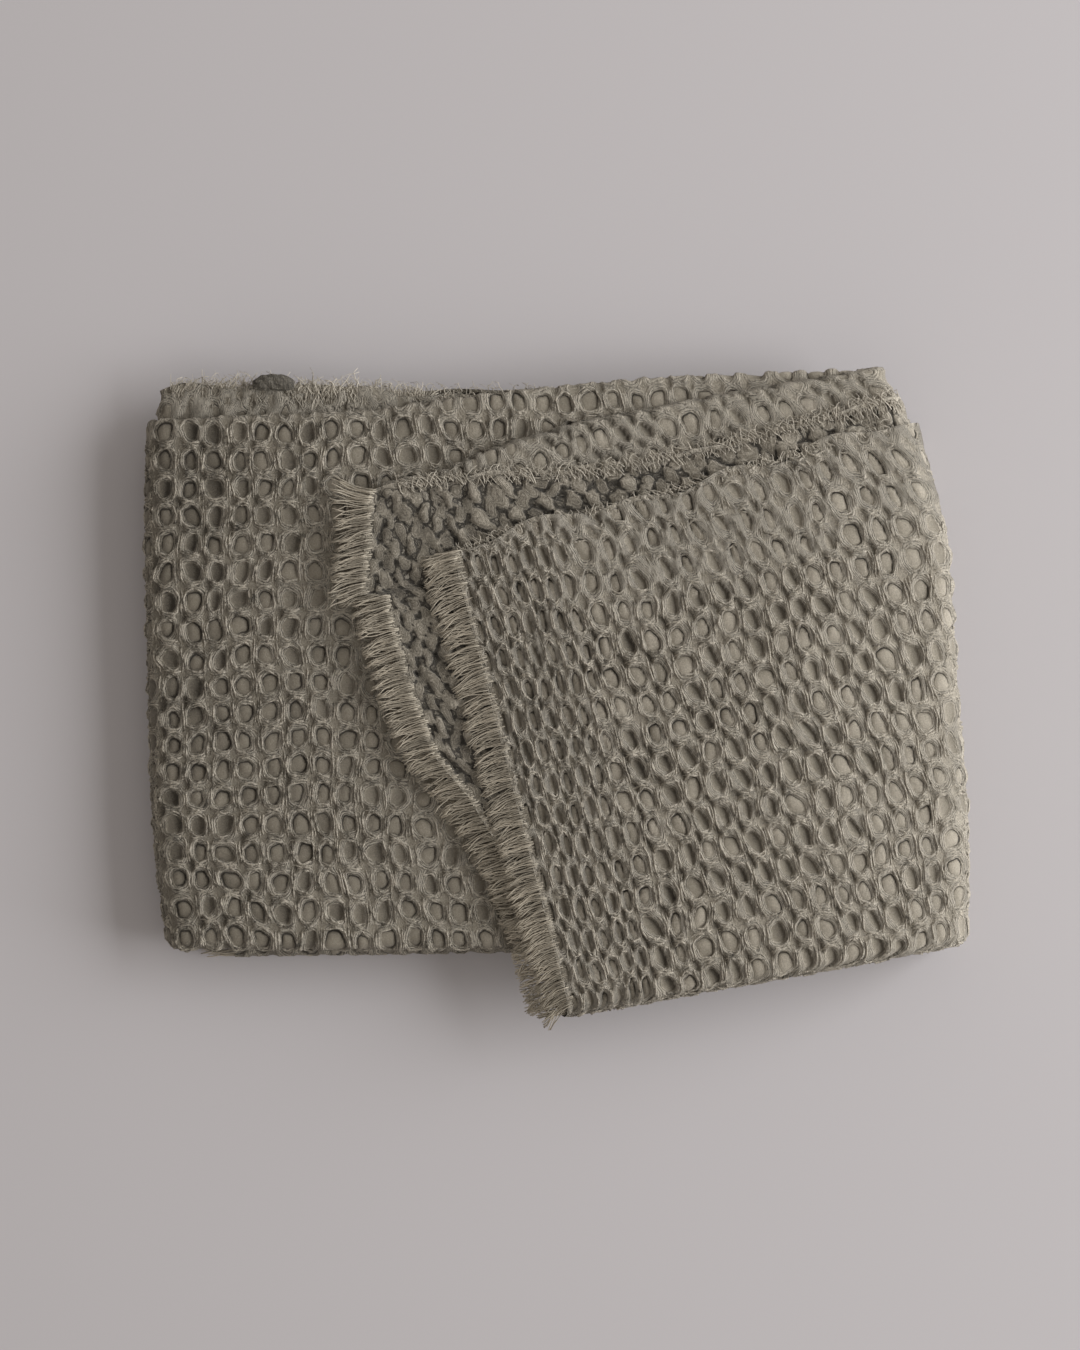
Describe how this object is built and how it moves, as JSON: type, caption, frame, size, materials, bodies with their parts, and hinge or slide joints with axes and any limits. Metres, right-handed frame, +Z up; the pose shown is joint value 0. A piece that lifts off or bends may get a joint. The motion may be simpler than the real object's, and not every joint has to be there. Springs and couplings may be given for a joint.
{
  "type": "folded waffle-weave linen blanket",
  "caption": "Washed-linen waffle-weave blanket, folded into a rectangular stack with its fringed end turned back askew on top.",
  "frame": {"origin": "middle of the underside of the folded blanket's box, on the surface it rests on", "axes": "+X to the right along the stack's long side, +Y to its back edge, +Z up; the fringed end on top points towards -X"},
  "size_m": [0.4778, 0.3746, 0.0585],
  "materials": {
    "cloth": "washed linen in a deep waffle weave, matt, sage khaki grey",
    "fringe": "loose linen yarn ends, matt, a little lighter than the cloth"
  },
  "bodies": {
    "root": {"cloth": "cloth", "fringe_on_top": "fringe", "fringe_underneath": "fringe"}
  },
  "joints": []
}
